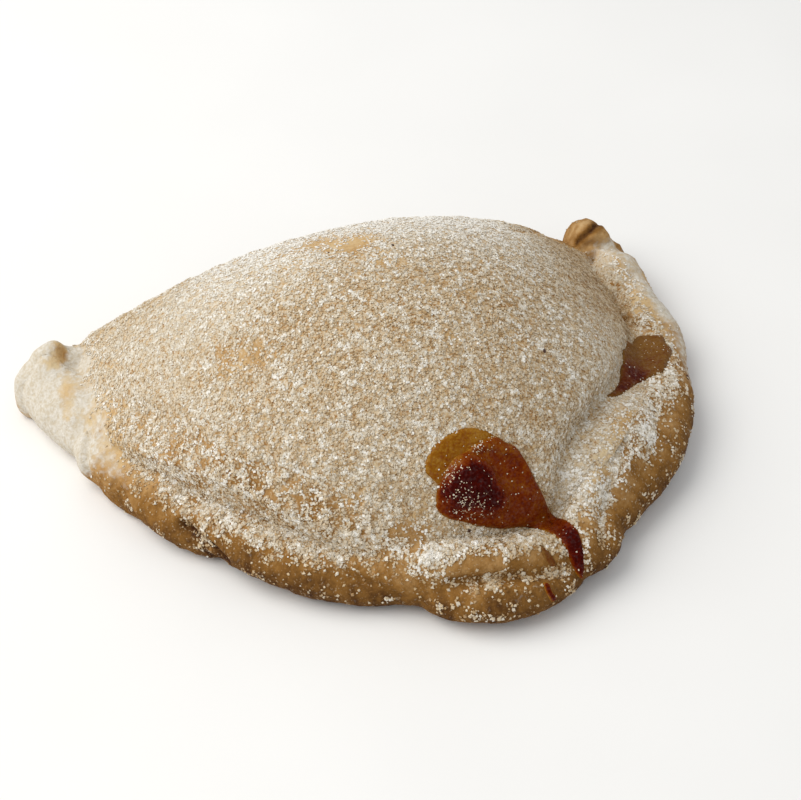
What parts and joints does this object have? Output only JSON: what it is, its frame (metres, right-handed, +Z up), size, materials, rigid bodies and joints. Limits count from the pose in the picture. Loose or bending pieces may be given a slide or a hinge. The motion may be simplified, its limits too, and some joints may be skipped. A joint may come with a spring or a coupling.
{
  "type": "pineapple turnover",
  "caption": "Sugared half-moon pineapple turnover: a plump baked dough case sealed by a hand-rolled rope edge, with caramelised jam leaking onto its crust.",
  "frame": {"origin": "middle of the footprint on the flat underside", "axes": "+X along the straight fold from the left tip to the right tip, -Y towards the rolled edge, +Z up"},
  "size_m": [0.1382, 0.096, 0.0419],
  "materials": {
    "crust": "matt baked dough",
    "sugar": "sparkling coarse grains",
    "jam_dark": "glossy caramelised jam",
    "jam_brown": "glossy brown glaze",
    "jam_amber": "thin amber syrup",
    "burnt": "matt burnt specks"
  },
  "bodies": {
    "root": {"pastry": "crust", "jam_leak_front": "jam_dark", "jam_leak_side": "jam_brown"}
  },
  "joints": []
}
